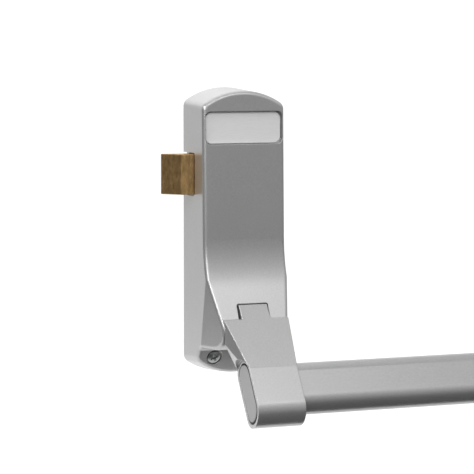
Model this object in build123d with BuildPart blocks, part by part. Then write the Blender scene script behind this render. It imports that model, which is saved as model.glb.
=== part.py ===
from build123d import *
from math import asin, cos, pi, radians, sin, tan
import os

# A panic latch for a single door: a cast housing with a side bolt, and the arm and cross bar that pull it.
# Millimetres. X runs along the door to the right, Z is up, and the door's face is the plane Y = 0.
# Depth is measured from the door towards the user, so a depth d lies at Y = -d.

# Housing cover
HOUSE_W = 66.0            # width across the flat sides
HOUSE_H = 214.0           # height over the arched ends, at the door
ARCH_R = 57.0             # radius of the arched ends
ARCH_DRAFT = 3.5          # slope of the arched ends, degrees
CORNER_R = 6.5            # where an arch meets a side
CORNER_LEAST = 1.0
DEPTH_TOP = 36.5          # depth of the front at the top
DEPTH_SWOOP = 38.5        # depth of the front where the swoop starts
SWOOP_OVER = 66.8         # the swoop starts this far above the pivot
SWOOP_LEAN = 23.0         # lean of the swoop's straight run, degrees
SWOOP_R = 91.0            # radius of the hollow above it
WALL = 2.5                # wall of the casting
RIM_R = 3.0               # rounding of the outer edges
FLANK_LEAN = 0.30         # how far the nose narrows per millimetre of depth
FLANK_RISE = 0.054        # and per millimetre of height
FLANK_X = 32.2            # the narrowed side stands here at FLANK_D
FLANK_D = 43.4
FLANK_OVER = 38.8         # and this far above the pivot

# Arm pivot and nose
PIVOT_D = 45.0
PIVOT_UP = 35.1           # above the housing's lower end
NOSE_R = 13.5             # outer radius of the nose about the pivot
NOSE_MID = -35.0          # middle of the nose's round front, degrees
SHAFT_D = 8.0
SHAFT_FIT = 0.03          # radial clearance of a turning fit
SHAFT_SHY = 0.3           # clearance of the arm's bore between its bushes
ARM_SWING = 22.0          # travel of the arm, degrees

# Lower panel with the cover screws
PANEL_TOP_D = 31.0
PANEL_TOP_UP = 21.6       # above the housing's lower end, as are the screws
PANEL_LEAN = 26.0         # lean of the panel from upright, degrees
PANEL_BEND_R = 4.0
SCREW_X = 19.7
SCREW_UP = 13.4
SCREW_BORE = 4.4          # clearance hole
SCREW_SEAT_D = 12.5       # counterbore
SCREW_SEAT_DEPTH = 2.6
SCREW_HEAD_D = 10.0
SCREW_HEAD_H = 2.6
SCREW_SHANK_D = 4.0
SCREW_LEN = 12.0
RECESS_W = 1.2            # cross recess
RECESS_L = 5.2
RECESS_DEPTH = 1.5
SEAT_T = 3.5              # metal under a screw's head
SCREW_GAP = 0.3
UPPER_BOSS_D = 26.0       # depth of the boss behind the name plate
UPPER_BOSS_R = 8.0
UPPER_HEAD_D = 8.0
UPPER_HEAD_H = 2.4
POST_D = 10.0
LUG_W = 10.0
LUG_H = 11.0
LUG_OVER = 8.5            # the lug's foot, from just over the screw to well over it
LUG_FOOT = 0.5

# Name plate
PLATE_W = 62.0
PLATE_H = 23.6
PLATE_DOWN = 29.3         # its middle below the housing's upper end
PLATE_R = 4.0
PLATE_T = 1.2
PLATE_SINK = 2.5          # how far its face lies below the front
PLATE_GAP = 0.3
PLATE_EDGE = 0.4

# Back plate
BACK_T = 2.0
BACK_GAP = 0.2            # between plate and cover
FIX_X = 42.0              # fixing holes, across and up
FIX_Z = 150.0
FIX_HOLE_D = 5.5

# Bolt
BOLT_H = 30.0
BOLT_DOWN = 63.9          # its middle below the housing's upper end
BOLT_FRONT = 20.0         # depth of its front face
BOLT_BACK = 4.0
BOLT_OUT = 20.0           # how far it stands out, and its travel
BOLT_FLAT = 10.4          # flat run before the bevel
BOLT_BODY = 21.0          # length of the thick body inside the cover
BOLT_TAIL = 16.5          # length of the forked tail
TAIL_BACK = 12.0          # depths of the tail plate
TAIL_FRONT = 16.5
BOLT_GAP = 0.4            # running gap in the straps
OPENING_GAP = 1.0         # gap round the bolt in the cover's side
OPENING_R = 3.0
STRAP_T = 1.8
STRAP_W = 7.0
STRAP_XS = (-30.3, -20.0)
BOLT_TIP = 1.2
BOLT_EDGE = 0.7
BOLT_POCKET = 8.0         # depth of the spring's pocket

# Bell crank
CRANK_X = 8.0
CRANK_UNDER = 37.3        # below the bolt's middle
CRANK_OUT = 28.0          # arm up to the bolt
CRANK_BACK = 8.6          # depths of the crank's plate
CRANK_T = 3.0
CRANK_BOSS_D = 13.0
CRANK_PIN_D = 5.0
LINK_PIN_D = 4.6          # pins on the crank's two arms
LINK_GAP = 0.35
LINK_R = 4.3              # round ends of the crank's arms
CRANK_BUSH_D = 8.0
CRANK_FLANGE_T = 0.8

# Lift slide
SLIDE_W = 15.0
SLIDE_BACK = 5.2          # depths of the strip
SLIDE_T = 2.4
FINGER_LEN = 26.6         # from the pivot to the finger's round tip
FINGER_R = 3.0
FINGER_W = 9.0
LUG_T = 3.0               # shelf of the slide over the finger
LUG_GAP = 0.2
SLIDE_SHOULDER = 20.0     # top of the broad strip, below the crank
SLIDE_HEAD_LEFT = -12.0   # head round the crank's pin
SLIDE_HEAD_RIGHT = 1.0
BRIDGE_OVER = 30.0        # top of the bridge over the slide, above the pivot
BRIDGE_T = 2.5
RIVET_D = 5.0
RIVET_UNDER = 30.0        # below the crank
LUG_PAST = 0.4            # how far the shelf reaches past the finger's tip
SPRING_WIRE = 1.0
SPRING_D = 5.6
SPRING_TURNS = 7
SPRING_CHORDS = 10        # straight lengths in a turn
SPRING_SIDES = 6
SPIGOT_D = 3.0
SPIGOT_L = 4.0
LIFT_SPRING_D = 14.0      # depth of the lift spring's axis
BOLT_SPRING_D = 8.6       # depth of the bolt spring's axis
BOLT_SPRING_OVER = 8.7    # above the bolt's middle
STOP_X = 28.0             # face of the bolt spring's bracket
STOP_T = 2.0
STOP_FOOT = 10.0

# Pivot bracket
EAR_T = 3.0
EAR_GAP = 1.6             # between hub and ear
EAR_R = 9.5
BRACKET_T = 2.5
BRACKET_OVER = 22.0       # above and below the pivot
BRACKET_UNDER = 12.0
RIVET_X = 10.3
RIVET_SPAN = 24.0
STAKE_D = 3.0
RIVET_HEAD_D = 4.6
RIVET_HEAD_H = 1.3
RIVET_SHY = 0.3
CLIP_GAP = 0.3
CLIP_T = 1.2
CLIP_BITE = 0.8           # depth of a clip's groove

# Arm
ARM_W = 52.0              # across the top shoulders
TONGUE_W = 22.8
TONGUE_GAP = 1.3          # each side, in the cover's notch
TONGUE_TOP_GAP = 0.6      # over its top
TONGUE_OVER = 19.9        # its top above the pivot
TONGUE_PROUD = 0.8        # the tongue's top edge in front of the swoop
TONGUE_T = 4.0
SHOULDER_OVER = 9.9       # the shoulders above the pivot
HUB_R = 11.0
HUB_HIGH = 100.0          # where the tongue and the plate meet the hub, degrees
HUB_LOW = -60.0
NOSE_GAP = 1.4            # between the nose and the arm that wraps it
NOTCH_BACK_D = 41.0
NOTCH_H = 40.0
NOTCH_R = 1.6
ARM_TURN = 7.8            # the arm's left side turns in this far below the pivot
ARM_EDGE = 0.5            # rounding of the sleeve's mouths
BUSH_D = 11.0
BUSH_L = 8.0
BUSH_FLANGE_D = 15.0
BUSH_FLANGE_T = 1.0
GRUB_XS = (2.0, 14.0)
GRUB_TURN = 35.0          # turned this far towards the door, degrees
GRUB_SHY = 0.05           # between a screw's tip and the bar
GRUB_D = 5.0
GRUB_SINK = 0.8           # between its outer end and the sleeve's surface
GRUB_KEY = 0.8            # depth of its socket

# Sleeve and bar, oval sections leaning with the arm
SLEEVE_D = 77.9
SLEEVE_UNDER = 42.1       # below the pivot
SLEEVE_LEAN = 30.5
SLEEVE_L = 52.0
SLEEVE_T = 23.0
SLEEVE_LEFT = -15.5
SLEEVE_RIGHT = 22.8
LOW_FRONT = 0.60          # radii of the sections, as shares of their thickness
LOW_BACK = 0.39
HIGH_ENDS = 0.495
BAR_L = 39.0
BAR_T = 19.0
BAR_RISE = 1.5            # the bar lies this far up the sleeve
BAR_WALL = 1.6
BAR_FIT = 0.15
BAR_IN = 27.0             # how far it reaches into the sleeve
BAR_OUT = 217.0           # how far it stands out of the sleeve
CAP_L = 44.6              # visible face of the cap in its end
CAP_T = 16.6
CAP_GAP = 0.9             # groove round the face
CAP_LIP = 1.2             # depth of the groove
CAP_DEPTH = 3.0
CAP_PROUD = 0.3


def side_point(d, z):
    """A point of a side profile: depth and height in the YZ plane."""
    return (-d, z)


def about(d, z, angle, radius):
    """The point at a radius and angle, in degrees up from straight out, about a point of the profile."""
    return (d + radius * cos(radians(angle)), z + radius * sin(radians(angle)))


def write(part, name):
    part.part.label = name
    export_step(part.part, f"parts/{name}.step")


def housing_form(inset):
    """The cover's solid form, moved in by a wall: a side profile, arched ends and the flanks."""
    half, high = HOUSE_W / 2 - inset, HOUSE_H / 2 - inset
    draft = (DEPTH_SWOOP - DEPTH_TOP) / (HOUSE_H / 2 - SWOOP_Z)
    nose_r = NOSE_R - inset
    touch = about(PIVOT_D, PIVOT_Z, SWOOP_LEAN, nose_r)
    front_d, slope = DEPTH_SWOOP - inset, tan(radians(SWOOP_LEAN))
    meet_z = (touch[0] + slope * touch[1] - front_d - draft * SWOOP_Z) / (slope - draft)
    meet = (front_d - draft * (meet_z - SWOOP_Z), meet_z)
    top = (front_d - draft * (high - SWOOP_Z), high)
    under = (PIVOT_D, PIVOT_Z - nose_r)
    lean = tan(radians(PANEL_LEAN))
    bend = (PANEL_TOP_D - inset, PANEL_TOP_Z + inset)
    foot = (bend[0] - (bend[1] + high) * lean, -high)
    with BuildPart() as form:
        with BuildSketch(Plane.YZ):
            with BuildLine():
                Polyline(side_point(*foot), side_point(0, -high), side_point(0, high), side_point(*top))
                FilletPolyline(side_point(*top), side_point(*meet), side_point(*touch),
                               radius=SWOOP_R + inset)
                ThreePointArc(side_point(*touch), side_point(*about(PIVOT_D, PIVOT_Z, NOSE_MID, nose_r)),
                              side_point(*under))
                FilletPolyline(side_point(*under), side_point(*bend), side_point(*foot),
                               radius=PANEL_BEND_R + inset)
            make_face()
        extrude(amount=half, both=True)
        turn, corner = radians(ARCH_DRAFT), max(CORNER_R - inset, CORNER_LEAST)
        crown = high * cos(turn)
        rise = crown - (ARCH_R - inset) + ((ARCH_R - inset) ** 2 - half ** 2) ** 0.5
        for way in (1, -1):
            face = Plane((0, 0, 0), x_dir=(1, 0, 0), z_dir=(0, -cos(turn), -way * sin(turn)))
            with BuildSketch(face) as arched:
                with BuildLine():
                    ThreePointArc((-half, way * rise), (0, way * crown), (half, way * rise))
                    Polyline((half, way * rise), (half, -way * HOUSE_H), (-half, -way * HOUSE_H),
                             (-half, way * rise))
                make_face()
                fillet([v for v in arched.vertices() if v.Y * way > 0], corner)
            extrude(amount=2 * PIVOT_D, both=True, mode=Mode.INTERSECT)
        for way in (1, -1):
            normal = Vector(way, -FLANK_LEAN, -FLANK_RISE)
            on = Vector(way * (FLANK_X - inset), -FLANK_D, FLANK_Z)
            split(bisect_by=Plane(on, z_dir=normal), keep=Keep.BOTTOM)
    return form.part


os.makedirs("parts", exist_ok=True)

# Places worked out from the sizes above
PIVOT_Z = PIVOT_UP - HOUSE_H / 2
SWOOP_Z = PIVOT_Z + SWOOP_OVER
FLANK_Z = PIVOT_Z + FLANK_OVER
PANEL_TOP_Z = PANEL_TOP_UP - HOUSE_H / 2
SCREW_Z = SCREW_UP - HOUSE_H / 2
PLATE_Z = HOUSE_H / 2 - PLATE_DOWN
BOLT_Z = HOUSE_H / 2 - BOLT_DOWN
BOLT_SPRING_Z = BOLT_Z + BOLT_SPRING_OVER
CRANK_Z = BOLT_Z - CRANK_UNDER
RIVET_Z = CRANK_Z - RIVET_UNDER
BRIDGE_Z = PIVOT_Z + BRIDGE_OVER
BRACKET_TOP_Z = PIVOT_Z + BRACKET_OVER
BRACKET_LOW_Z = PIVOT_Z - BRACKET_UNDER
TONGUE_TOP_Z = PIVOT_Z + TONGUE_OVER
SHOULDER_Z = PIVOT_Z + SHOULDER_OVER
ARM_TURN_Z = PIVOT_Z - ARM_TURN
SLEEVE_Z = PIVOT_Z - SLEEVE_UNDER
SWING = radians(ARM_SWING)
LIFT = FINGER_LEN * SWING
CRANK_TURN = 2 * asin(BOLT_OUT / 2 / CRANK_OUT)
CRANK_IN = LIFT / 2 / sin(CRANK_TURN / 2)
FINGER_TIP = about(PIVOT_D, PIVOT_Z, 180 + ARM_SWING / 2, FINGER_LEN)
LUG_Z = FINGER_TIP[1] + FINGER_R + LUG_GAP
OUT_PIN = (CRANK_X - CRANK_OUT * sin(CRANK_TURN / 2), CRANK_Z + CRANK_OUT * cos(CRANK_TURN / 2))
IN_PIN = (CRANK_X - CRANK_IN * cos(CRANK_TURN / 2), CRANK_Z - CRANK_IN * sin(CRANK_TURN / 2))
HALF_W = HOUSE_W / 2
BOLT_LEFT = -HALF_W - BOLT_OUT
BOLT_REAR = BOLT_LEFT + BOLT_OUT + BOLT_BODY
EAR_X = TONGUE_W / 2 + EAR_GAP
SLEEVE_R = SLEEVE_T / 2
SLEEVE_TOP = about(SLEEVE_D, SLEEVE_Z, 90 + SLEEVE_LEAN, (SLEEVE_L - SLEEVE_T) / 2)
FOLD = about(*SLEEVE_TOP, SLEEVE_LEAN, SLEEVE_R)
SWOOP_TOUCH = about(PIVOT_D, PIVOT_Z, SWOOP_LEAN, NOSE_R)
TONGUE_TOP_D = SWOOP_TOUCH[0] - (TONGUE_TOP_Z - SWOOP_TOUCH[1]) * tan(radians(SWOOP_LEAN)) + TONGUE_PROUD
ARM_SLOPE = (FOLD[0] - TONGUE_TOP_D) / (TONGUE_TOP_Z - FOLD[1])
ARM_BACK_D = PIVOT_D + NOSE_R + NOSE_GAP
PANEL_SLOPE = tan(radians(PANEL_LEAN))
SCREW_D = PANEL_TOP_D - (PANEL_TOP_Z - SCREW_Z) * PANEL_SLOPE
FRONT_D = DEPTH_SWOOP - (PLATE_Z - SWOOP_Z) * (DEPTH_SWOOP - DEPTH_TOP) / (HOUSE_H / 2 - SWOOP_Z)
PLATE_FACE_D = FRONT_D - PLATE_SINK
RECESS_D = PLATE_FACE_D - PLATE_T
BAR_LEFT = SLEEVE_RIGHT - BAR_IN
SLIDE_FRONT = SLIDE_BACK + SLIDE_T
CRANK_FRONT = CRANK_BACK + CRANK_T
LINK_SLOT = LINK_PIN_D + 2 * LINK_GAP
CLIP_X = EAR_X + EAR_T + CLIP_GAP


def arm_front(z):
    """Depth of the arm's flat front at a height."""
    return TONGUE_TOP_D + (TONGUE_TOP_Z - z) * ARM_SLOPE


def panel_plane(x, depth=0.0):
    """A plane on the sloped lower panel at a cover screw, moved in by a depth, looking out."""
    lean = radians(PANEL_LEAN)
    out = Vector(0, -cos(lean), -sin(lean))
    return Plane(Vector(x, -SCREW_D, SCREW_Z) - out * depth, x_dir=(1, 0, 0), z_dir=out)


def low_back_centre(length, thick, rise=0.0):
    """Centre of the low back corner of an oval section."""
    middle = about(SLEEVE_D, SLEEVE_Z, 90 + SLEEVE_LEAN, rise - length / 2 + LOW_BACK * thick)
    return about(*middle, 180 + SLEEVE_LEAN, thick / 2 - LOW_BACK * thick)


def grub_plane(x):
    """A plane at the bar's low back corner, looking out of the sleeve along a grub screw."""
    d, z = low_back_centre(BAR_L, BAR_T, BAR_RISE)
    angle = radians(SLEEVE_LEAN - 90 - GRUB_TURN)
    return Plane(Vector(x, -d, z), x_dir=(1, 0, 0), z_dir=(0, -cos(angle), sin(angle)))


def sleeve_ahead(plane):
    """How far the rounded low back corner of the sleeve lies ahead of a plane's origin."""
    d, z = low_back_centre(SLEEVE_L, SLEEVE_T)
    away = Vector(plane.origin.X, -d, z) - plane.origin
    along = away.dot(plane.z_dir)
    return along + ((LOW_BACK * SLEEVE_T) ** 2 - away.length ** 2 + along ** 2) ** 0.5


def cross_recess(plane):
    """Cuts a cross into a screw's head, from its top inwards."""
    with BuildSketch(plane) as cross:
        Rectangle(RECESS_L, RECESS_W)
        Rectangle(RECESS_W, RECESS_L)
    extrude(cross.sketch, amount=-RECESS_DEPTH, mode=Mode.SUBTRACT)


def coil(start, direction, length):
    """A compression spring's wire between two seats, in straight chords round its helix."""
    seat = Plane(Vector(start) + Vector(direction) * (SPRING_WIRE / 2), z_dir=direction)
    reach, chords = (SPRING_D - SPRING_WIRE) / 2, SPRING_TURNS * SPRING_CHORDS
    turns = [2 * pi * step / SPRING_CHORDS for step in range(chords + 1)]
    pitch = (length - SPRING_WIRE) / chords
    helix = [seat.from_local_coords((reach * cos(turn), reach * sin(turn), pitch * step))
             for step, turn in enumerate(turns)]
    with BuildPart() as spring:
        with BuildLine() as path:
            Polyline(*helix)
        with BuildSketch(Plane(path.line @ 0, z_dir=path.line % 0)):
            RegularPolygon(SPRING_WIRE / 2, SPRING_SIDES)
        sweep(path=path.line, transition=Transition.RIGHT)
    return spring


def oval(x, length, thick, rise=0.0):
    """A sketch of an oval section on the plane at x, leaning as the sleeve does, fuller at its low front."""
    middle = about(SLEEVE_D, SLEEVE_Z, 90 + SLEEVE_LEAN, rise)
    with BuildSketch(Plane.YZ.offset(x)) as section:
        with Locations(side_point(*middle)):
            Rectangle(length, thick, rotation=90 - SLEEVE_LEAN)
        for up, out, share in ((-1, 1, LOW_FRONT), (-1, -1, LOW_BACK), (1, 1, HIGH_ENDS), (1, -1, HIGH_ENDS)):
            end = about(*middle, 90 + SLEEVE_LEAN, up * length / 2)
            corner = Vector(*side_point(*about(*end, SLEEVE_LEAN, out * thick / 2)))
            fillet(section.vertices().sort_by_distance(corner)[0], share * thick)
    return section.sketch


GRUB_IN = LOW_BACK * BAR_T + GRUB_SHY
GRUB_OUT = sleeve_ahead(grub_plane(0))

# Cover: the casting with its cavity, bosses, name plate recess, notch and bolt opening
with BuildPart() as cavity:
    add(housing_form(WALL))
    with BuildSketch(Plane.XZ.offset(RECESS_D - WALL)):
        with Locations((0, PLATE_Z)):
            Rectangle(HOUSE_W, PLATE_H + 2 * WALL)
    extrude(amount=PIVOT_D, mode=Mode.SUBTRACT)
    with BuildSketch(Plane.XZ.offset(UPPER_BOSS_D)):
        with Locations((0, PLATE_Z)):
            Circle(UPPER_BOSS_R)
    extrude(amount=PIVOT_D, mode=Mode.SUBTRACT)
    for side in (-1, 1):
        with BuildSketch(panel_plane(side * SCREW_X, SCREW_SEAT_DEPTH + SEAT_T)):
            Circle(SCREW_SEAT_D / 2 + WALL)
        extrude(amount=PIVOT_D, mode=Mode.SUBTRACT)

with BuildPart() as cover:
    add(offset(housing_form(RIM_R), amount=RIM_R, kind=Kind.ARC))
    split(bisect_by=Plane.XZ, keep=Keep.TOP)
    add(cavity.part, mode=Mode.SUBTRACT)
    with BuildSketch(Plane.XZ.offset(RECESS_D)):
        with Locations((0, PLATE_Z)):
            RectangleRounded(PLATE_W + 2 * PLATE_GAP, PLATE_H + 2 * PLATE_GAP, PLATE_R + PLATE_GAP)
    extrude(amount=PIVOT_D, mode=Mode.SUBTRACT)
    with BuildSketch(Plane.XZ.offset(RECESS_D)):
        with Locations((0, PLATE_Z)):
            Circle(UPPER_HEAD_D / 2 + SCREW_GAP)
    extrude(amount=-UPPER_HEAD_H - SCREW_GAP, mode=Mode.SUBTRACT)
    with BuildSketch(Plane.XZ):
        with Locations((0, PLATE_Z)):
            Circle(SCREW_BORE / 2)
    extrude(amount=PIVOT_D, mode=Mode.SUBTRACT)
    with BuildSketch(Plane.YZ.offset(-HALF_W - WALL)):
        with Locations(side_point(0, BOLT_Z)):
            RectangleRounded(2 * (BOLT_FRONT + OPENING_GAP), BOLT_H + 2 * OPENING_GAP, OPENING_R)
    extrude(amount=3 * WALL, mode=Mode.SUBTRACT)
    with BuildSketch(Plane.XZ.offset(NOTCH_BACK_D)):
        with Locations((0, TONGUE_TOP_Z + TONGUE_TOP_GAP)):
            RectangleRounded(TONGUE_W + 2 * TONGUE_GAP, NOTCH_H, NOTCH_R, align=(Align.CENTER, Align.MAX))
    extrude(amount=PIVOT_D, mode=Mode.SUBTRACT)
    for side in (-1, 1):
        with BuildSketch(panel_plane(side * SCREW_X, SCREW_SEAT_DEPTH)):
            Circle(SCREW_SEAT_D / 2)
        extrude(amount=PIVOT_D, mode=Mode.SUBTRACT)
        with BuildSketch(panel_plane(side * SCREW_X)):
            Circle(SCREW_BORE / 2)
        extrude(amount=-PANEL_TOP_D / 2, mode=Mode.SUBTRACT)
write(cover, "cover")

# Name plate: a bare plate in its recess
with BuildPart() as name_plate:
    with BuildSketch(Plane.XZ.offset(RECESS_D)):
        with Locations((0, PLATE_Z)):
            RectangleRounded(PLATE_W, PLATE_H, PLATE_R)
    extrude(amount=PLATE_T)
    chamfer(name_plate.faces().sort_by(Axis.Y)[0].edges(), PLATE_EDGE)
write(name_plate, "name_plate")

# Back plate: flat steel inside the cover's rim
with BuildPart() as back_plate:
    with BuildSketch(Plane.XZ):
        with BuildLine():
            reach = BACK_GAP + WALL
            half, high, arch = HALF_W - reach, HOUSE_H / 2 - reach, ARCH_R - reach
            rise = high - arch + (arch ** 2 - half ** 2) ** 0.5
            for way in (1, -1):
                ThreePointArc((-half, way * rise), (0, way * high), (half, way * rise))
                Line((way * half, rise), (way * half, -rise))
        outline = make_face()
        fillet(outline.vertices(), CORNER_R - reach)
        with GridLocations(FIX_X, FIX_Z, 2, 2):
            Circle(FIX_HOLE_D / 2, mode=Mode.SUBTRACT)
        with Locations((0, (BRACKET_TOP_Z + BRACKET_LOW_Z) / 2)):
            with GridLocations(2 * RIVET_X, RIVET_SPAN, 2, 2):
                Circle(STAKE_D / 2 + SHAFT_FIT, mode=Mode.SUBTRACT)
    extrude(amount=BACK_T)
write(back_plate, "back_plate")

# Pivot bracket: a folded U whose ears carry the arm's shaft
with BuildPart() as pivot_bracket:
    base_d = BACK_T + BRACKET_T
    with BuildSketch(Plane.YZ):
        with BuildLine():
            up = about(PIVOT_D, PIVOT_Z, 90, EAR_R)
            low = about(PIVOT_D, PIVOT_Z, -90, EAR_R)
            Polyline(side_point(*up), side_point(base_d, BRACKET_TOP_Z), side_point(BACK_T, BRACKET_TOP_Z),
                     side_point(BACK_T, BRACKET_LOW_Z), side_point(base_d, BRACKET_LOW_Z), side_point(*low))
            ThreePointArc(side_point(*low), side_point(PIVOT_D + EAR_R, PIVOT_Z), side_point(*up))
        make_face()
        with Locations(side_point(PIVOT_D, PIVOT_Z)):
            Circle(SHAFT_D / 2 + SHAFT_FIT, mode=Mode.SUBTRACT)
    extrude(amount=EAR_X + EAR_T, both=True)
    with BuildSketch(Plane.YZ):
        with Locations(side_point(base_d, PIVOT_Z)):
            Rectangle(2 * PIVOT_D, HOUSE_H, align=(Align.MAX, Align.CENTER))
    extrude(amount=EAR_X, both=True, mode=Mode.SUBTRACT)
    with BuildSketch(Plane.XZ):
        with Locations((0, (BRACKET_TOP_Z + BRACKET_LOW_Z) / 2)):
            with GridLocations(2 * RIVET_X, RIVET_SPAN, 2, 2):
                Circle(STAKE_D / 2 + SHAFT_FIT)
    extrude(amount=base_d, mode=Mode.SUBTRACT)
write(pivot_bracket, "pivot_bracket")

# Rivets that hold the bracket on the back plate
with BuildPart() as bracket_rivets:
    centre_z = (BRACKET_TOP_Z + BRACKET_LOW_Z) / 2
    spots = [(x, centre_z + z) for x in (-RIVET_X, RIVET_X) for z in (-RIVET_SPAN / 2, RIVET_SPAN / 2)]
    with BuildSketch(Plane.XZ.offset(RIVET_SHY)):
        with Locations(*spots):
            Circle(STAKE_D / 2)
    extrude(amount=base_d - RIVET_SHY)
    with BuildSketch(Plane.XZ.offset(base_d)):
        with Locations(*spots):
            Circle(RIVET_HEAD_D / 2)
    extrude(amount=RIVET_HEAD_H)
    chamfer(bracket_rivets.faces().group_by(Axis.Y)[0].edges(), RIVET_HEAD_H / 3)
write(bracket_rivets, "bracket_rivets")

# Pivot shaft and the clips in its grooves
with BuildPart() as pivot_shaft:
    with BuildSketch(Plane.YZ):
        with Locations(side_point(PIVOT_D, PIVOT_Z)):
            Circle(SHAFT_D / 2)
    extrude(amount=CLIP_X + 2 * CLIP_T, both=True)
    chamfer(pivot_shaft.edges().filter_by(GeomType.CIRCLE), CLIP_T / 3)
    for side in (-1, 1):
        with BuildSketch(Plane.YZ.offset(side * CLIP_X)):
            with Locations(side_point(PIVOT_D, PIVOT_Z)):
                Circle(SHAFT_D)
                Circle(SHAFT_D / 2 - CLIP_BITE, mode=Mode.SUBTRACT)
        extrude(amount=side * CLIP_T, mode=Mode.SUBTRACT)
write(pivot_shaft, "pivot_shaft")

for side, name in ((-1, "shaft_clip_left"), (1, "shaft_clip_right")):
    with BuildPart() as shaft_clip:
        with BuildSketch(Plane.YZ.offset(side * CLIP_X)):
            with Locations(side_point(PIVOT_D, PIVOT_Z)):
                Circle(SHAFT_D / 2 + CLIP_T)
                Circle(SHAFT_D / 2 - CLIP_BITE, mode=Mode.SUBTRACT)
                Rectangle(SHAFT_D, SHAFT_D / 2 - CLIP_BITE, align=(Align.MIN, Align.CENTER),
                          mode=Mode.SUBTRACT)
        extrude(amount=side * CLIP_T)
    write(shaft_clip, name)

# Arm: plate, sleeve, tongue, hub and finger in one casting
with BuildPart() as arm:
    with BuildSketch(Plane.YZ):
        Polygon(side_point(PIVOT_D, SHOULDER_Z), side_point(arm_front(SHOULDER_Z), SHOULDER_Z),
                side_point(*FOLD), side_point(*SLEEVE_TOP), side_point(*about(*SLEEVE_TOP, 180, SLEEVE_R)),
                side_point(ARM_BACK_D, ARM_TURN_Z), side_point(ARM_BACK_D, PIVOT_Z), align=None)
        with Locations(side_point(PIVOT_D, PIVOT_Z)):
            Circle(NOSE_R + NOSE_GAP, mode=Mode.SUBTRACT)
    extrude(amount=ARM_W / 2, both=True)
    with BuildSketch(Plane.XZ):
        Polygon((-ARM_W / 2, SHOULDER_Z), (ARM_W / 2, SHOULDER_Z), (SLEEVE_RIGHT, FOLD[1]),
                (SLEEVE_RIGHT, SLEEVE_Z), (SLEEVE_LEFT, SLEEVE_Z), (SLEEVE_LEFT, FOLD[1] - SLEEVE_R / 3),
                (-ARM_W / 2, ARM_TURN_Z), align=None)
    extrude(amount=2 * SLEEVE_D, mode=Mode.INTERSECT)
    edge_top = Vector(-ARM_W / 2, -arm_front(SHOULDER_Z), SHOULDER_Z)
    edge_low = Vector(SLEEVE_LEFT, -FOLD[0], FOLD[1])
    edge_back = Vector(-ARM_W / 2, -ARM_BACK_D, ARM_TURN_Z)
    down, back = edge_low - edge_top, edge_back - edge_top
    split(bisect_by=Plane(edge_top, x_dir=down, z_dir=back.cross(down)), keep=Keep.BOTTOM)
    for end, way in ((SLEEVE_LEFT, -1), (SLEEVE_RIGHT, 1)):
        extrude(oval(end, SLEEVE_L, SLEEVE_T), amount=way * ARM_W, mode=Mode.SUBTRACT)
    extrude(oval(SLEEVE_LEFT, SLEEVE_L, SLEEVE_T), amount=SLEEVE_RIGHT - SLEEVE_LEFT)
    hub = about(PIVOT_D, PIVOT_Z, HUB_HIGH, HUB_R)
    with BuildSketch(Plane.YZ):
        with Locations(side_point(PIVOT_D, PIVOT_Z)):
            Circle(HUB_R)
        Polygon(side_point(*hub), side_point(TONGUE_TOP_D - TONGUE_T, TONGUE_TOP_Z),
                side_point(TONGUE_TOP_D, TONGUE_TOP_Z), side_point(arm_front(PIVOT_Z), PIVOT_Z),
                side_point(ARM_BACK_D + WALL, ARM_TURN_Z), side_point(ARM_BACK_D, ARM_TURN_Z),
                side_point(*about(PIVOT_D, PIVOT_Z, HUB_LOW, HUB_R)), side_point(PIVOT_D, PIVOT_Z),
                align=None)
    extrude(amount=TONGUE_W / 2, both=True)
    with BuildSketch(Plane.YZ) as finger:
        with Locations(side_point(PIVOT_D, PIVOT_Z)):
            Circle(FINGER_R + LUG_GAP)
        with Locations(side_point(*FINGER_TIP)):
            Circle(FINGER_R)
        make_hull()
    extrude(amount=FINGER_W / 2, both=True)
    with BuildSketch(Plane.YZ):
        with Locations(side_point(PIVOT_D, PIVOT_Z)):
            Circle(SHAFT_D / 2 + SHAFT_SHY)
    extrude(amount=TONGUE_W, both=True, mode=Mode.SUBTRACT)
    for side in (-1, 1):
        with BuildSketch(Plane.YZ.offset(side * TONGUE_W / 2)):
            with Locations(side_point(PIVOT_D, PIVOT_Z)):
                Circle(BUSH_D / 2 + SHAFT_FIT)
        extrude(amount=-side * BUSH_L, mode=Mode.SUBTRACT)
    extrude(oval(BAR_LEFT, BAR_L + 2 * BAR_FIT, BAR_T + 2 * BAR_FIT, BAR_RISE), amount=BAR_IN,
            mode=Mode.SUBTRACT)
    extrude(oval(SLEEVE_LEFT, CAP_L + 2 * CAP_GAP, CAP_T + 2 * CAP_GAP), amount=BAR_LEFT - SLEEVE_LEFT,
            mode=Mode.SUBTRACT)
    for x in GRUB_XS:
        with BuildSketch(grub_plane(x)):
            Circle(GRUB_D / 2 + SHAFT_FIT)
        extrude(amount=GRUB_OUT + WALL, mode=Mode.SUBTRACT)
    bar_middle = about(SLEEVE_D, SLEEVE_Z, 90 + SLEEVE_LEAN, BAR_RISE)
    cap_edge = about(SLEEVE_D, SLEEVE_Z, SLEEVE_LEAN, CAP_T / 2 + CAP_GAP)
    bar_edge = about(*bar_middle, SLEEVE_LEAN, BAR_T / 2 + BAR_FIT)
    for x, edge in ((SLEEVE_LEFT, cap_edge), (SLEEVE_RIGHT, bar_edge)):
        fillet(arm.edges().sort_by_distance(Vector(x, *side_point(*edge)))[0], ARM_EDGE)
write(arm, "arm")

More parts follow.
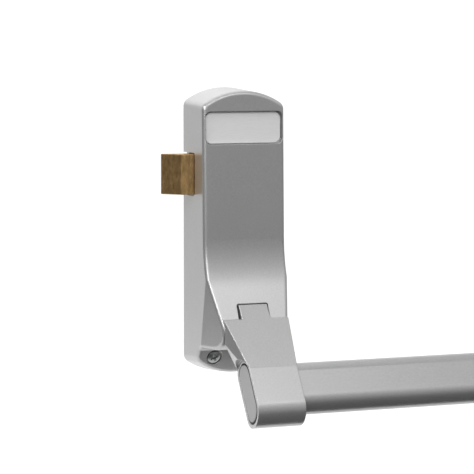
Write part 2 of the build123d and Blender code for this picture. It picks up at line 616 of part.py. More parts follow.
# Bushes in the arm's hub
for side, name in ((-1, "arm_bush_left"), (1, "arm_bush_right")):
    with BuildPart() as arm_bush:
        with BuildSketch(Plane.YZ.offset(side * (TONGUE_W / 2 - BUSH_L))):
            with Locations(side_point(PIVOT_D, PIVOT_Z)):
                Circle(BUSH_D / 2)
        extrude(amount=side * BUSH_L)
        with BuildSketch(Plane.YZ.offset(side * TONGUE_W / 2)):
            with Locations(side_point(PIVOT_D, PIVOT_Z)):
                Circle(BUSH_FLANGE_D / 2)
        extrude(amount=side * BUSH_FLANGE_T)
        with BuildSketch(Plane.YZ):
            with Locations(side_point(PIVOT_D, PIVOT_Z)):
                Circle(SHAFT_D / 2 + SHAFT_FIT)
        extrude(amount=TONGUE_W, both=True, mode=Mode.SUBTRACT)
    write(arm_bush, name)

# Cap in the sleeve's left end
with BuildPart() as bar_end_cap:
    plug = 2 * (CAP_GAP - BAR_FIT)
    extrude(oval(SLEEVE_LEFT - CAP_PROUD, CAP_L, CAP_T), amount=CAP_PROUD + CAP_LIP)
    extrude(oval(SLEEVE_LEFT + CAP_LIP, CAP_L + plug, CAP_T + plug), amount=CAP_DEPTH - CAP_LIP)
write(bar_end_cap, "bar_end_cap")

# Push bar: an oval tube, open at its right end
with BuildPart() as push_bar:
    extrude(oval(BAR_LEFT, BAR_L, BAR_T, BAR_RISE), amount=BAR_IN + BAR_OUT)
    extrude(oval(BAR_LEFT, BAR_L - 2 * BAR_WALL, BAR_T - 2 * BAR_WALL, BAR_RISE), amount=BAR_IN + BAR_OUT,
            mode=Mode.SUBTRACT)
write(push_bar, "push_bar")

# Grub screws that hold the bar in the sleeve
with BuildPart() as clamp_screws:
    for x in GRUB_XS:
        with BuildSketch(grub_plane(x).offset(GRUB_IN)):
            Circle(GRUB_D / 2)
        extrude(amount=GRUB_OUT - GRUB_SINK - GRUB_IN)
        with BuildSketch(grub_plane(x).offset(GRUB_OUT - GRUB_SINK)):
            RegularPolygon(GRUB_D / 4, 6)
        extrude(amount=-GRUB_KEY, mode=Mode.SUBTRACT)
write(clamp_screws, "clamp_screws")

# Lift slide: a strip with a shelf over the arm's finger and a slotted head for the crank's pin
with BuildPart() as lift_slide:
    sag = CRANK_IN * (1 - cos(CRANK_TURN / 2))
    shoulder = CRANK_Z - SLIDE_SHOULDER
    with BuildSketch(Plane.XZ.offset(SLIDE_BACK)):
        with Locations((0, LUG_Z)):
            Rectangle(SLIDE_W, shoulder - LUG_Z, align=(Align.CENTER, Align.MIN))
        with Locations((SLIDE_HEAD_LEFT, shoulder)):
            Rectangle(SLIDE_HEAD_RIGHT - SLIDE_HEAD_LEFT, IN_PIN[1] + LINK_SLOT - shoulder,
                      align=(Align.MIN, Align.MIN))
        with Locations((0, RIVET_Z - LIFT / 2)):
            SlotCenterToCenter(LIFT, RIVET_D + 2 * LINK_GAP, rotation=90, mode=Mode.SUBTRACT)
        with Locations((IN_PIN[0] - sag / 2, IN_PIN[1])):
            SlotCenterToCenter(sag, LINK_SLOT, mode=Mode.SUBTRACT)
    extrude(amount=SLIDE_T)
    with BuildSketch(Plane.XY.offset(LUG_Z)):
        with Locations((0, -SLIDE_BACK)):
            Rectangle(SLIDE_W, FINGER_TIP[0] + LUG_PAST - SLIDE_BACK, align=(Align.CENTER, Align.MAX))
    extrude(amount=LUG_T)
write(lift_slide, "lift_slide")

# Bridge over the slide, which guides it and seats its spring
with BuildPart() as slide_bridge:
    half = SLIDE_W / 2 + BOLT_GAP
    roof = SLIDE_FRONT + BOLT_GAP
    with BuildSketch(Plane.XY.offset(BRIDGE_Z)):
        with Locations((0, -BACK_T)):
            Rectangle(2 * (half + BRIDGE_T), roof + BRIDGE_T - BACK_T, align=(Align.CENTER, Align.MAX))
            Rectangle(2 * half, roof - BACK_T, align=(Align.CENTER, Align.MAX), mode=Mode.SUBTRACT)
    extrude(amount=-2 * BRIDGE_T)
    with BuildSketch(Plane.XY.offset(BRIDGE_Z)):
        with Locations((0, -roof)):
            Rectangle(SLIDE_W, LIFT_SPRING_D + SPRING_D - roof, align=(Align.CENTER, Align.MAX))
    extrude(amount=-BRIDGE_T)
    with BuildSketch(Plane.XY.offset(BRIDGE_Z - BRIDGE_T)):
        with Locations((0, -LIFT_SPRING_D)):
            Circle(SPIGOT_D / 2)
    extrude(amount=-SPIGOT_L)
write(slide_bridge, "slide_bridge")

# Shouldered rivet in the slide's long slot
with BuildPart() as slide_rivet:
    with BuildSketch(Plane.XZ.offset(BACK_T)):
        with Locations((0, RIVET_Z)):
            Circle(RIVET_D / 2 + SLIDE_T / 2)
    extrude(amount=SLIDE_BACK - BOLT_GAP - BACK_T)
    with BuildSketch(Plane.XZ.offset(BACK_T)):
        with Locations((0, RIVET_Z)):
            Circle(RIVET_D / 2)
    extrude(amount=SLIDE_FRONT + BOLT_GAP - BACK_T)
    with BuildSketch(Plane.XZ.offset(SLIDE_FRONT + BOLT_GAP)):
        with Locations((0, RIVET_Z)):
            Circle(RIVET_D)
    extrude(amount=RIVET_HEAD_H)
write(slide_rivet, "slide_rivet")

lift_spring = coil((0, -LIFT_SPRING_D, LUG_Z + LUG_T), (0, 0, 1), BRIDGE_Z - BRIDGE_T - LUG_Z - LUG_T)
write(lift_spring, "lift_spring")

# Bell crank: one arm lifted by the slide, the other drawing the bolt
with BuildPart() as bell_crank:
    for end in (OUT_PIN, IN_PIN):
        with BuildSketch(Plane.XZ.offset(CRANK_BACK)):
            with Locations((CRANK_X, CRANK_Z)):
                Circle(CRANK_BOSS_D / 2)
            with Locations(end):
                Circle(LINK_R)
            make_hull()
        extrude(amount=CRANK_T)
    with BuildSketch(Plane.XZ.offset(CRANK_FRONT)):
        with Locations(OUT_PIN):
            Circle(LINK_PIN_D / 2)
    extrude(amount=TAIL_FRONT - CRANK_FRONT)
    with BuildSketch(Plane.XZ.offset(CRANK_BACK)):
        with Locations(IN_PIN):
            Circle(LINK_PIN_D / 2)
    extrude(amount=SLIDE_BACK - CRANK_BACK)
    with BuildSketch(Plane.XZ):
        with Locations((CRANK_X, CRANK_Z)):
            Circle(CRANK_BUSH_D / 2 + SHAFT_FIT)
    extrude(amount=2 * CRANK_FRONT, mode=Mode.SUBTRACT)
write(bell_crank, "bell_crank")

with BuildPart() as crank_bush:
    with BuildSketch(Plane.XZ.offset(CRANK_BACK)):
        with Locations((CRANK_X, CRANK_Z)):
            Circle(CRANK_BUSH_D / 2)
    extrude(amount=CRANK_T)
    with BuildSketch(Plane.XZ.offset(CRANK_FRONT)):
        with Locations((CRANK_X, CRANK_Z)):
            Circle(CRANK_BUSH_D / 2 + CRANK_FLANGE_T)
    extrude(amount=CRANK_FLANGE_T)
    with BuildSketch(Plane.XZ):
        with Locations((CRANK_X, CRANK_Z)):
            Circle(CRANK_PIN_D / 2 + SHAFT_FIT)
    extrude(amount=2 * CRANK_FRONT, mode=Mode.SUBTRACT)
write(crank_bush, "crank_bush")

# Crank pin, shouldered on the back plate, with the clip in its groove
with BuildPart() as crank_pin:
    clip_d = CRANK_FRONT + CRANK_FLANGE_T + CLIP_GAP
    with BuildSketch(Plane.XZ.offset(BACK_T)):
        with Locations((CRANK_X, CRANK_Z)):
            Circle(CRANK_BUSH_D / 2)
    extrude(amount=CRANK_BACK - LINK_GAP - BACK_T)
    with BuildSketch(Plane.XZ.offset(BACK_T)):
        with Locations((CRANK_X, CRANK_Z)):
            Circle(CRANK_PIN_D / 2)
    extrude(amount=clip_d + 2 * CLIP_T - BACK_T)
    with BuildSketch(Plane.XZ.offset(clip_d)):
        with Locations((CRANK_X, CRANK_Z)):
            Circle(CRANK_PIN_D)
            Circle(CRANK_PIN_D / 2 - CLIP_BITE, mode=Mode.SUBTRACT)
    extrude(amount=CLIP_T, mode=Mode.SUBTRACT)
write(crank_pin, "crank_pin")

with BuildPart() as crank_clip:
    with BuildSketch(Plane.XZ.offset(clip_d)):
        with Locations((CRANK_X, CRANK_Z)):
            Circle(CRANK_PIN_D / 2 + CLIP_T)
            Circle(CRANK_PIN_D / 2 - CLIP_BITE, mode=Mode.SUBTRACT)
            Rectangle(CRANK_PIN_D, CRANK_PIN_D / 2 - CLIP_BITE, align=(Align.MIN, Align.CENTER),
                      mode=Mode.SUBTRACT)
    extrude(amount=CLIP_T)
write(crank_clip, "crank_clip")

# Bolt: bevelled nose, thick body with the spring's pocket, and a forked tail
with BuildPart() as latch_bolt:
    low_z = BOLT_Z - BOLT_H / 2
    with BuildSketch(Plane.XY.offset(low_z)):
        Polygon((BOLT_LEFT, -BOLT_BACK), (BOLT_LEFT, -BOLT_BACK - BOLT_TIP),
                (-HALF_W - BOLT_FLAT, -BOLT_FRONT), (BOLT_REAR, -BOLT_FRONT), (BOLT_REAR, -BOLT_BACK),
                align=None)
    extrude(amount=BOLT_H)
    nose = latch_bolt.faces().sort_by(Axis.Z)
    fillet(nose[0].edges() + nose[-1].edges(), BOLT_EDGE)
    with BuildSketch(Plane.XZ.offset(TAIL_BACK)):
        with Locations((BOLT_REAR, BOLT_Z)):
            Rectangle(BOLT_TAIL, BOLT_H, align=(Align.MIN, Align.CENTER))
        with Locations((OUT_PIN[0], low_z)):
            Rectangle(LINK_SLOT, CRANK_Z + CRANK_OUT + LINK_SLOT / 2 - low_z, align=(Align.CENTER, Align.MIN),
                      mode=Mode.SUBTRACT)
    extrude(amount=TAIL_FRONT - TAIL_BACK)
    with BuildSketch(Plane.YZ.offset(BOLT_REAR)):
        with Locations(side_point(BOLT_SPRING_D, BOLT_SPRING_Z)):
            Circle(SPRING_D / 2 + SCREW_GAP)
    extrude(amount=-BOLT_POCKET, mode=Mode.SUBTRACT)
write(latch_bolt, "latch_bolt")

# Straps that guide the bolt
for x, name in zip(STRAP_XS, ("bolt_strap_front", "bolt_strap_rear")):
    with BuildPart() as bolt_strap:
        with BuildSketch(Plane.YZ.offset(x)):
            outer = BOLT_FRONT + BOLT_GAP + STRAP_T
            with Locations(side_point((outer + BACK_T) / 2, BOLT_Z)):
                Rectangle(outer - BACK_T, BOLT_H + 2 * (BOLT_GAP + STRAP_T))
            with Locations(side_point((BOLT_FRONT + BOLT_BACK) / 2, BOLT_Z)):
                Rectangle(BOLT_FRONT - BOLT_BACK + 2 * BOLT_GAP, BOLT_H + 2 * BOLT_GAP, mode=Mode.SUBTRACT)
        extrude(amount=STRAP_W)
    write(bolt_strap, name)

# Bracket behind the bolt, and the spring between them
with BuildPart() as spring_bracket:
    with BuildSketch(Plane.XY.offset(BOLT_SPRING_Z)):
        with Locations((STOP_X + STOP_T, -BACK_T)):
            Rectangle(STOP_FOOT, STOP_T, align=(Align.MAX, Align.MAX))
            Rectangle(STOP_T, BOLT_SPRING_D + SPRING_D - BACK_T, align=(Align.MAX, Align.MAX))
    extrude(amount=SPRING_D, both=True)
    with BuildSketch(Plane.YZ.offset(STOP_X)):
        with Locations(side_point(BOLT_SPRING_D, BOLT_SPRING_Z)):
            Circle(SPIGOT_D / 2)
    extrude(amount=-SPIGOT_L)
write(spring_bracket, "spring_bracket")

bolt_spring = coil((BOLT_REAR - BOLT_POCKET, -BOLT_SPRING_D, BOLT_SPRING_Z), (1, 0, 0),
                   STOP_X - BOLT_REAR + BOLT_POCKET)
write(bolt_spring, "bolt_spring")

# Upper fixing of the cover: a post on the back plate and a screw under the name plate
with BuildPart() as upper_post:
    with BuildSketch(Plane.XZ.offset(BACK_T)):
        with Locations((0, PLATE_Z)):
            Circle(POST_D / 2)
    extrude(amount=UPPER_BOSS_D - BACK_T)
    with BuildSketch(Plane.XZ.offset(UPPER_BOSS_D)):
        with Locations((0, PLATE_Z)):
            Circle(SCREW_SHANK_D / 2 + SHAFT_FIT)
    extrude(amount=-SCREW_LEN, mode=Mode.SUBTRACT)
write(upper_post, "upper_post")

with BuildPart() as upper_screw:
    seat_d = RECESS_D - UPPER_HEAD_H - SCREW_GAP
    with BuildSketch(Plane.XZ.offset(seat_d)):
        with Locations((0, PLATE_Z)):
            Circle(UPPER_HEAD_D / 2)
    extrude(amount=UPPER_HEAD_H)
    with BuildSketch(Plane.XZ.offset(seat_d)):
        with Locations((0, PLATE_Z)):
            Circle(SCREW_SHANK_D / 2)
    extrude(amount=-SCREW_LEN)
    cross_recess(Plane((0, -seat_d - UPPER_HEAD_H, PLATE_Z), z_dir=(0, -1, 0)))
write(upper_screw, "upper_screw")

# Lower fixing: screws square to the sloped panel, in lugs on the back plate
for side, word in ((-1, "left"), (1, "right")):
    with BuildPart() as lower_lug:
        face = panel_plane(side * SCREW_X, SCREW_SEAT_DEPTH + SEAT_T)
        top, low = (face.origin + face.y_dir * way for way in (LUG_H / 2, -LUG_H / 2))
        with BuildSketch(Plane.YZ.offset(side * SCREW_X)):
            Polygon((top.Y, top.Z), (low.Y, low.Z), side_point(BACK_T, SCREW_Z + LUG_FOOT),
                    side_point(BACK_T, SCREW_Z + LUG_OVER), align=None)
        extrude(amount=LUG_W / 2, both=True)
        with BuildSketch(face):
            Circle(SCREW_SHANK_D / 2 + SHAFT_FIT)
        extrude(amount=-SCREW_LEN, mode=Mode.SUBTRACT)
    write(lower_lug, f"lower_lug_{word}")
    with BuildPart() as lower_screw:
        seat = panel_plane(side * SCREW_X, SCREW_SEAT_DEPTH)
        with BuildSketch(seat):
            Circle(SCREW_HEAD_D / 2)
        extrude(amount=SCREW_HEAD_H)
        with BuildSketch(seat):
            Circle(SCREW_SHANK_D / 2)
        extrude(amount=-SCREW_LEN)
        cross_recess(seat.offset(SCREW_HEAD_H))
    write(lower_screw, f"lower_screw_{word}")
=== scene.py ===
from math import cos, pi, radians, sin

import bpy
import numpy as np
from mathutils import Matrix, Vector


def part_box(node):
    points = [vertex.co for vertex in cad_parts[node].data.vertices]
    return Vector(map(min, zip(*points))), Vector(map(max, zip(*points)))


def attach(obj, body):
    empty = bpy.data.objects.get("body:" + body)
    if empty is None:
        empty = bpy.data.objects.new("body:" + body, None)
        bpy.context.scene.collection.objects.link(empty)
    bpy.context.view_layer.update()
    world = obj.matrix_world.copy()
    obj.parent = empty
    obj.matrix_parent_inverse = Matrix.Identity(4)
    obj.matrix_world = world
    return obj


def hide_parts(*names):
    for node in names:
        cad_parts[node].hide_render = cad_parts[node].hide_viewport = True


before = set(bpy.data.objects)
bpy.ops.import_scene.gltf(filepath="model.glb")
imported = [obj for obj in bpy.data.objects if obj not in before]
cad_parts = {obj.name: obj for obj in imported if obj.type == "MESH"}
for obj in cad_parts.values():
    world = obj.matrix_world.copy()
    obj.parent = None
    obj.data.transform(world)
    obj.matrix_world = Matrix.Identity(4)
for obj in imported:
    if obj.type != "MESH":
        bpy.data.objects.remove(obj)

bl_info = {
    "name": "Panic latch dressing",
    "version": (1, 0, 0),
    "blender": (4, 5, 0),
    "location": "View3D > Sidebar > Latch",
    "description": "Finishes and fine pieces for a panic latch, set round its packed solids",
    "category": "Object",
}

# Metres. X runs along the door to the right, the door's face is Y = 0 and the user stands at negative Y.
MM = 0.001
FACE_LEAN = radians(30.5)       # the sleeve's front leans back from upright by this
PANEL_LEAN = radians(26.0)      # and the lower panel's by this, the other way
CAP_PLUG = (46.1 * MM, 18.1 * MM)   # the end cap's plug, along and across the sleeve's end
CAP_STEP = 1.3 * MM             # its face is smaller all round by this
CAP_FACE_RISE = 0.75 * MM          # and stands this far over its foot, which is painted near black as painted shade in the groove
CAP_CORNERS = (0.495, 0.495, 0.39, 0.60)    # its radii in widths of the face: two high, low back, low front
BEVEL_LONG = 9.6 * MM           # the bolt's bevel, from the tip along the bolt
BEVEL_BLEND = 0.4 * MM          # its painted shade fades out from this far before the crease to this far behind
PLATE_GAP = 0.3 * MM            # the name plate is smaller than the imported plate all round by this
HEAD_R, HEAD_H = 5.0 * MM, 2.6 * MM         # head of a cover screw
HEAD_RIM = 0.35 * MM                        # rounding of its rim
SHANK_R, SHANK_L = 2.0 * MM, 12.0 * MM      # its shank
SHANK_POINT = 0.3               # the shank's point is bevelled by this share of its radius
RECESS_REACH = 0.55             # arms of the cross recess end at this share of the head's radius
RECESS_BORDER = 0.3 * MM        # its walls slope over this width
SCREW_TURNS = {"left": 0.5, "right": 0.2}   # radians that each cover screw's cross is turned by

# Fixed colours, shares of the colours in the settings, and noise.
GROOVE_SHADE_BLACK = (0.02, 0.02, 0.02)         # painted shade: the near-black foot of the end cap, standing in for the shadow in the groove round it
BEVEL_SHADE_BROWN = (0.02, 0.012, 0.006)      # painted shade: the dark brown that the bolt's bevel is mixed with, for the darker reflection the bevel takes from the left
BAR_SHARE = 0.93                # of the paint, for the bar
SPRING_SHARE = 0.55             # of the plated steel, for the springs
SCREW_SHARE = 0.9               # and for the inner screws
COVER_SCREW_SHARE = 0.62        # and for the cover screws
WEAR_AND_EDGE_LIGHT_SCALE = 160.0              # of the noise that breaks the edge wear and painted edge highlight into patches, per metre
COAT_ROUGH = 0.18

# Counts of points and rings in the grids.
CORNER_POINTS = 12              # round each corner of a slab
FOOT_RINGS = 3                  # up a slab's foot and in to its side
EDGE_RINGS = 7                  # round a slab's front edge
FRONT_RINGS = 4                 # in over its flat front
RIM_RINGS = 5                   # round a screw head's rim
DOME_RINGS = 43                 # in over its dome
ROUND_POINTS = 120              # round a screw

# The room's brightness by the height of the direction, from straight down at 0 to straight up at 1.
ROOM_BY_HEIGHT = ((0.0, 0.10), (0.33, 0.08), (0.46, 0.29), (0.54, 0.43), (0.62, 0.56), (0.75, 0.82),
                  (0.82, 0.90), (0.88, 0.58), (0.925, 0.45), (0.945, 0.95), (1.0, 1.0))

# Each lamp's share of the lamp power, azimuth to the right and elevation in degrees, width and height.
LAMPS = {
    "softbox": (0.95, 8, 39, 1.0, 0.36),
    "back_panel": (0.38, 180, 32, 1.2, 0.5),
    "left_fill": (2.0, -42, 22, 0.5, 0.5),
    "top_panel": (0.8, 170, 68, 1.2, 0.35),
    "rim_light": (1.3, -72, 38, 0.26, 0.26),
}
LAMP_FAR = 1.3                  # from the housing's middle


# settings a user would change

class LatchFinish(bpy.types.PropertyGroup):
    """Colours and gloss of the finishes"""
    paint: bpy.props.FloatVectorProperty(
        name="Paint", description="Silver paint of the housing and the arm", subtype="COLOR", size=3,
        default=(0.50, 0.50, 0.50), min=0, max=1)
    paint_roughness: bpy.props.FloatProperty(
        name="Paint roughness", description="How satin the silver paint is", subtype="FACTOR",
        default=0.34, min=0, max=1)
    plate: bpy.props.FloatVectorProperty(
        name="Name plate", description="Satin metal of the bare name plate", subtype="COLOR", size=3,
        default=(0.88, 0.88, 0.88), min=0, max=1)
    cap: bpy.props.FloatVectorProperty(
        name="End cap", description="Moulded plug in the sleeve's end", subtype="COLOR", size=3,
        default=(0.52, 0.52, 0.525), min=0, max=1)
    brass: bpy.props.FloatVectorProperty(
        name="Bolt", description="Tarnished brass of the latch bolt", subtype="COLOR", size=3,
        default=(0.57, 0.365, 0.16), min=0, max=1)
    # painted shade: how far the bevel's colour goes over to the dark brown, for the darker reflection the
    # bevel takes from the left
    bevel_shade: bpy.props.FloatProperty(
        name="Bolt tip", description="How much browner the bolt's bevel is than its front",
        subtype="FACTOR", default=0.34, min=0, max=1)
    bronze: bpy.props.FloatVectorProperty(
        name="Bushes", description="Sintered bronze of the bushes", subtype="COLOR", size=3,
        default=(0.40, 0.22, 0.10), min=0, max=1)
    zinc: bpy.props.FloatVectorProperty(
        name="Plated steel", description="Zinc plating of the inner steel pieces", subtype="COLOR", size=3,
        default=(0.56, 0.57, 0.57), min=0, max=1)


class LatchSizes(bpy.types.PropertyGroup):
    """Sizes of the new pieces"""
    plate_edge: bpy.props.FloatProperty(
        name="Plate edge", description="Rounding of the name plate's front edge", unit="LENGTH",
        default=0.5 * MM, min=0)
    plate_radius: bpy.props.FloatProperty(
        name="Plate corner", description="Corner radius of the name plate", unit="LENGTH",
        default=5.5 * MM, min=0)
    cap_edge: bpy.props.FloatProperty(
        name="Cap edge", description="Rounding of the end cap's rim", unit="LENGTH",
        default=0.5 * MM, min=0)
    screw_dome: bpy.props.FloatProperty(
        name="Screw dome", description="Rise of a cover screw's head over its rim", unit="LENGTH",
        default=0.9 * MM, min=0)
    recess_arm: bpy.props.FloatProperty(
        name="Recess width", description="Width of each arm of the cross recess", unit="LENGTH",
        default=1.3 * MM, min=0)
    recess_depth: bpy.props.FloatProperty(
        name="Recess depth", description="Depth of the cross recess", unit="LENGTH",
        default=1.5 * MM, min=0)


class LatchStage(bpy.types.PropertyGroup):
    """Camera, floor and light"""
    azimuth: bpy.props.FloatProperty(
        name="Azimuth", description="Camera turned from straight ahead, to the left", subtype="ANGLE",
        default=radians(24.37))
    elevation: bpy.props.FloatProperty(
        name="Elevation", description="Camera raised over the horizon", subtype="ANGLE",
        default=radians(4.42))
    focal: bpy.props.FloatProperty(
        name="Focal length", description="Focal length in widths of the picture",
        default=2575 / 474, min=0.1)
    distance: bpy.props.FloatProperty(
        name="Distance", description="From the camera to the housing's middle", unit="LENGTH",
        default=1.941)
    column: bpy.props.FloatProperty(
        name="Column", description="Where the housing's middle falls across the picture, from its left",
        subtype="FACTOR", default=223.9 / 474)
    row: bpy.props.FloatProperty(
        name="Row", description="Where the housing's middle falls down the picture, from its top",
        subtype="FACTOR", default=229.3 / 474)
    floor_drop: bpy.props.FloatProperty(
        name="Floor drop", description="Depth of the floor under the housing's middle", unit="LENGTH",
        default=0.20)
    room: bpy.props.FloatProperty(
        name="Room level", description="Brightness of the room that lights the latch", default=1.0, min=0)
    lamp_power: bpy.props.FloatProperty(
        name="Lamp power", description="Power that each lamp takes its own share of", subtype="POWER",
        default=2.0, min=0)


# meshes from grids

def mesh_object(name, points, faces):
    """A mesh object from an array of points and a list of faces, smooth, at the origin."""
    mesh = bpy.data.meshes.new(name)
    mesh.from_pydata(points.tolist(), [], faces)
    mesh.validate()
    mesh.shade_smooth()
    made = bpy.data.objects.new(name, mesh)
    bpy.context.scene.collection.objects.link(made)
    return made


def ring_faces(rings, around):
    """Quads between each ring of points and the next, and one face that closes each end."""
    k, i = np.meshgrid(np.arange(rings - 1), np.arange(around), indexing="ij")
    j = (i + 1) % around
    quads = np.stack([k * around + i, k * around + j, (k + 1) * around + j, (k + 1) * around + i], -1)
    first = list(range(around))[::-1]
    last = list(range((rings - 1) * around, rings * around))
    return quads.reshape(-1, 4).tolist() + [first, last]


def rounded_outline(width, height, radii, inset):
    """Points of a rectangle with round corners, pulled in by each inset: one ring for each inset.

    The corners go round from right and high to right and low, each with its own radius. A corner's centre
    stays at (width / 2 - radius, height / 2 - radius), and its points lie round it at radius - inset, over
    a quarter turn each, so every ring keeps the same count.
    """
    radius = np.repeat(np.broadcast_to(np.asarray(radii, float), 4), CORNER_POINTS)
    angle = (np.arange(4)[:, None] * pi / 2 + np.linspace(0, pi / 2, CORNER_POINTS)).ravel()
    side_x = np.repeat([1, -1, -1, 1], CORNER_POINTS) * (width / 2 - radius)
    side_y = np.repeat([1, 1, -1, -1], CORNER_POINTS) * (height / 2 - radius)
    reach = radius - np.asarray(inset, float)[:, None]
    return side_x + reach * np.cos(angle), side_y + reach * np.sin(angle)


def placed(origin, across, up, out, x, y, z):
    """origin + x * across + y * up + z * out, for whole arrays."""
    return (np.asarray(origin) + x[..., None] * np.asarray(across) + y[..., None] * np.asarray(up)
            + z[..., None] * np.asarray(out)).reshape(-1, 3)


def slab(name, width, height, radii, thick, edge, axes, foot=0.0, foot_thick=0.0):
    """A plate with round corners and a rounded front edge, on a wider foot where one is given.

    The rings run up the foot (inset = -foot), step in to the plate's side, go round a quarter turn of the
    edge radius (inset = edge * (1 - cos), level = thick - edge + edge * sin), and in over the flat front
    by 0.8 of what the smallest corner leaves. Without a foot they start at the plate's side.
    """
    turn = np.linspace(0, pi / 2, EDGE_RINGS)
    flat = np.linspace(0, 1, FRONT_RINGS + 1)[1:] * 0.8 * (np.min(radii) - edge)
    start = np.array([(-foot, 0.0), (-foot, foot_thick), (0.0, foot_thick)] if foot else [(0.0, 0.0)])
    inset = np.concatenate([start[:, 0], edge * (1 - np.cos(turn)), edge + flat])
    level = np.concatenate([start[:, 1], thick - edge + edge * np.sin(turn), np.full(len(flat), thick)])
    x, y = rounded_outline(width, height, radii, inset)
    points = placed(*axes, x, y, np.broadcast_to(level[:, None], x.shape))
    return mesh_object(name, points, ring_faces(len(inset), x.shape[1]))


def cross_screw(name, dome, arm, depth, axes):
    """A screw with a domed head and a cross recess, standing on its seat at level 0.

    The rings go up the shank, out under the head, up its side, round its rim and in over the dome:
    level = rim + dome * (1 - (r / crown)^2), where crown is the radius inside the rounded rim. The recess
    sinks the dome by depth * (1 - r / (2 * head radius)) times a share that falls from 1 to 0 across the
    border of the cross |x| < arm / 2 or |y| < arm / 2.
    """
    rim, crown, reach = HEAD_H - dome, HEAD_R - HEAD_RIM, RECESS_REACH * HEAD_R
    turn = np.linspace(0, pi / 2, RIM_RINGS)
    inner = np.linspace(1.0, 0.0, DOME_RINGS + 2)[1:-1] * crown
    shank_radius = [(1 - SHANK_POINT) * SHANK_R, SHANK_R, SHANK_R, HEAD_R]
    shank_level = [-SHANK_L, SHANK_POINT * SHANK_R - SHANK_L, 0.0, 0.0]
    radius = np.concatenate([shank_radius, HEAD_R - HEAD_RIM * (1 - np.cos(turn)), inner, [0.01 * MM]])
    level = np.concatenate([shank_level, rim - HEAD_RIM + HEAD_RIM * np.sin(turn),
                            rim + dome * (1 - (inner / crown) ** 2), [HEAD_H]])
    angle = np.arange(ROUND_POINTS) * 2 * pi / ROUND_POINTS
    x, y = radius[:, None] * np.cos(angle), radius[:, None] * np.sin(angle)
    beyond = np.minimum(np.maximum(abs(x) - arm / 2, abs(y) - reach),
                        np.maximum(abs(y) - arm / 2, abs(x) - reach))
    on_dome = (np.arange(len(radius)) >= len(shank_radius) + RIM_RINGS)[:, None]
    share = np.clip(0.5 - beyond / RECESS_BORDER, 0, 1) * on_dome
    z = level[:, None] - depth * share * (1 - radius[:, None] / (2 * HEAD_R))
    return mesh_object(name, placed(*axes, x, y, z), ring_faces(len(radius), ROUND_POINTS))


# finishes

def add_node(tree, kind, values=None, **settings):
    """One node of a kind, its settings and its socket values set; a value that is a socket is linked."""
    made = tree.nodes.new(kind)
    for key, value in settings.items():
        setattr(made, key, value)
    for key, value in (values or {}).items():
        if isinstance(value, bpy.types.NodeSocket):
            tree.links.new(value, made.inputs[key])
        else:
            made.inputs[key].default_value = value
    return made


def noise(tree, place, scale, detail=2.0, rough=0.5):
    """Fractal noise of a scale per metre on object coordinates."""
    return add_node(tree, "ShaderNodeTexNoise",
                    {"Vector": place, "Scale": scale, "Detail": detail, "Roughness": rough}).outputs["Fac"]


def span(tree, value, low, high, start=0.0, end=1.0):
    """The value's stretch from start to end carried onto low to high."""
    return add_node(tree, "ShaderNodeMapRange", {"Value": value, "From Min": start, "From Max": end,
                                                 "To Min": low, "To Max": high}).outputs["Result"]


def maths(tree, operation, a, b):
    """The result of one operation on two values."""
    return add_node(tree, "ShaderNodeMath", {0: a, 1: b}, operation=operation).outputs[0]


def darker(colour, share):
    """A colour of a setting times a plain number."""
    return [part * share for part in colour]


def tinted(tree, colour, factor):
    """A colour times a factor that varies over the surface."""
    return add_node(tree, "ShaderNodeVectorMath", {0: tuple(colour), "Scale": factor},
                    operation="SCALE").outputs[0]


def rounded_edges(tree, radius):
    """The normal rounded within a radius, and how far it leans from the plain one, from 0 to 1."""
    bent = add_node(tree, "ShaderNodeBevel", {"Radius": radius}, samples=4).outputs[0]
    plain = add_node(tree, "ShaderNodeNewGeometry").outputs["Normal"]
    along = add_node(tree, "ShaderNodeVectorMath", {0: bent, 1: plain}, operation="DOT_PRODUCT")
    return bent, span(tree, along.outputs["Value"], 1.0, 0.0, 0.80, 0.995)


